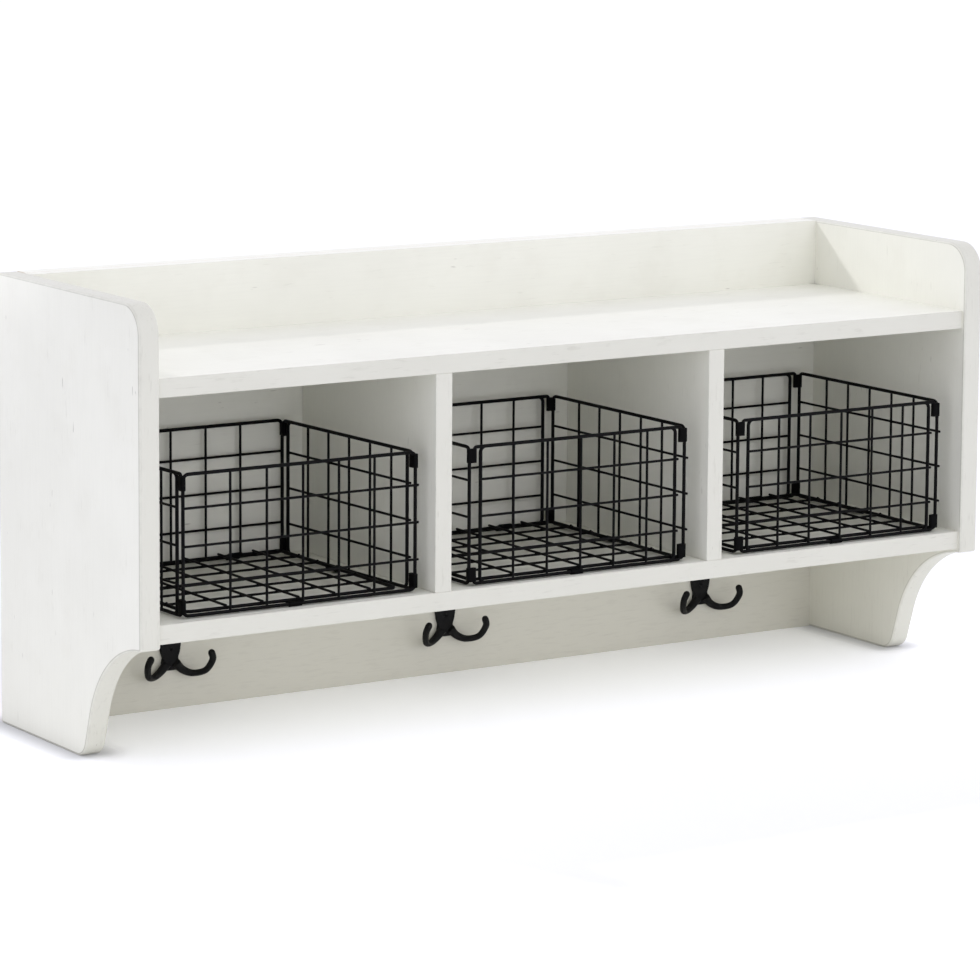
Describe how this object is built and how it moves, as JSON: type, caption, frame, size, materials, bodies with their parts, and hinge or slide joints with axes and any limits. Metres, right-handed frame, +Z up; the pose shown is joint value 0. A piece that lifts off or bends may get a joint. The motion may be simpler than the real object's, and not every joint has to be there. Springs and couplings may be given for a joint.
{
  "type": "wall-mounted entryway shelf",
  "caption": "Wall-mounted entryway shelf in brushed white paint with a gallery top, open cubbies holding pull-out wire baskets, and black double coat hooks below.",
  "frame": {"origin": "on the wall plane, midway between the two keyhole hangers' round entries", "axes": "+X to the shelf's right as seen from the front, -Y out of the front into the room, +Z up"},
  "size_m": [1.016, 0.3, 0.46],
  "materials": {
    "white_paint": "brushed white paint over wood board, lightly distressed, satin",
    "bare_wood": "unpainted wood at the back and inside the joints",
    "black_wire": "satin black powder coat on steel wire and sheet clips",
    "black_iron": "matt black paint on cast iron",
    "black_screw": "blackened steel screws",
    "zinc": "bright zinc plate on steel"
  },
  "bodies": {
    "case": {"side_panel_left": "white_paint", "side_panel_right": "white_paint", "top_shelf": "white_paint", "bottom_shelf": "white_paint", "divider_left": "white_paint", "divider_right": "white_paint", "back_panel": "white_paint", "hanging_rail": "bare_wood", "hook_rail": "bare_wood", "hanger_plates": "zinc", "hanger_screws": "zinc", "rail_screws": "zinc", "back_screws": "zinc", "side_dowels": "bare_wood", "divider_dowels": "bare_wood", "coat_hook_left": "black_iron", "coat_hook_middle": "black_iron", "coat_hook_right": "black_iron", "hook_screws": "black_screw"},
    "basket_left": {"left_basket_front": "black_wire", "left_basket_back": "black_wire", "left_basket_left_side": "black_wire", "left_basket_right_side": "black_wire", "left_basket_corner_clips": "black_wire", "left_basket_floor_clips": "black_wire"},
    "basket_floor_left": {"left_basket_floor": "black_wire"},
    "basket_middle": {"middle_basket_front": "black_wire", "middle_basket_back": "black_wire", "middle_basket_left_side": "black_wire", "middle_basket_right_side": "black_wire", "middle_basket_corner_clips": "black_wire", "middle_basket_floor_clips": "black_wire"},
    "basket_floor_middle": {"middle_basket_floor": "black_wire"},
    "basket_right": {"right_basket_front": "black_wire", "right_basket_back": "black_wire", "right_basket_left_side": "black_wire", "right_basket_right_side": "black_wire", "right_basket_corner_clips": "black_wire", "right_basket_floor_clips": "black_wire"},
    "basket_floor_right": {"right_basket_floor": "black_wire"}
  },
  "joints": [
    {"name": "left_basket_slide", "type": "slide", "parent": "case", "child": "basket_left", "axis": [0, -1, 0], "range_m": [0, 0.24]},
    {"name": "middle_basket_slide", "type": "slide", "parent": "case", "child": "basket_middle", "axis": [0, -1, 0], "range_m": [0, 0.24]},
    {"name": "right_basket_slide", "type": "slide", "parent": "case", "child": "basket_right", "axis": [0, -1, 0], "range_m": [0, 0.24]},
    {"name": "left_floor_hinge", "type": "hinge", "parent": "basket_left", "child": "basket_floor_left", "pos_m": [-0.32733, -0.0468, -0.2702], "axis": [-1, 0, 0], "range_deg": [0, 60]},
    {"name": "middle_floor_hinge", "type": "hinge", "parent": "basket_middle", "child": "basket_floor_middle", "pos_m": [0.0005, -0.0508, -0.2702], "axis": [-1, 0, 0], "range_deg": [0, 60]},
    {"name": "right_floor_hinge", "type": "hinge", "parent": "basket_right", "child": "basket_floor_right", "pos_m": [0.33033, -0.0498, -0.2702], "axis": [-1, 0, 0], "range_deg": [0, 60]}
  ]
}
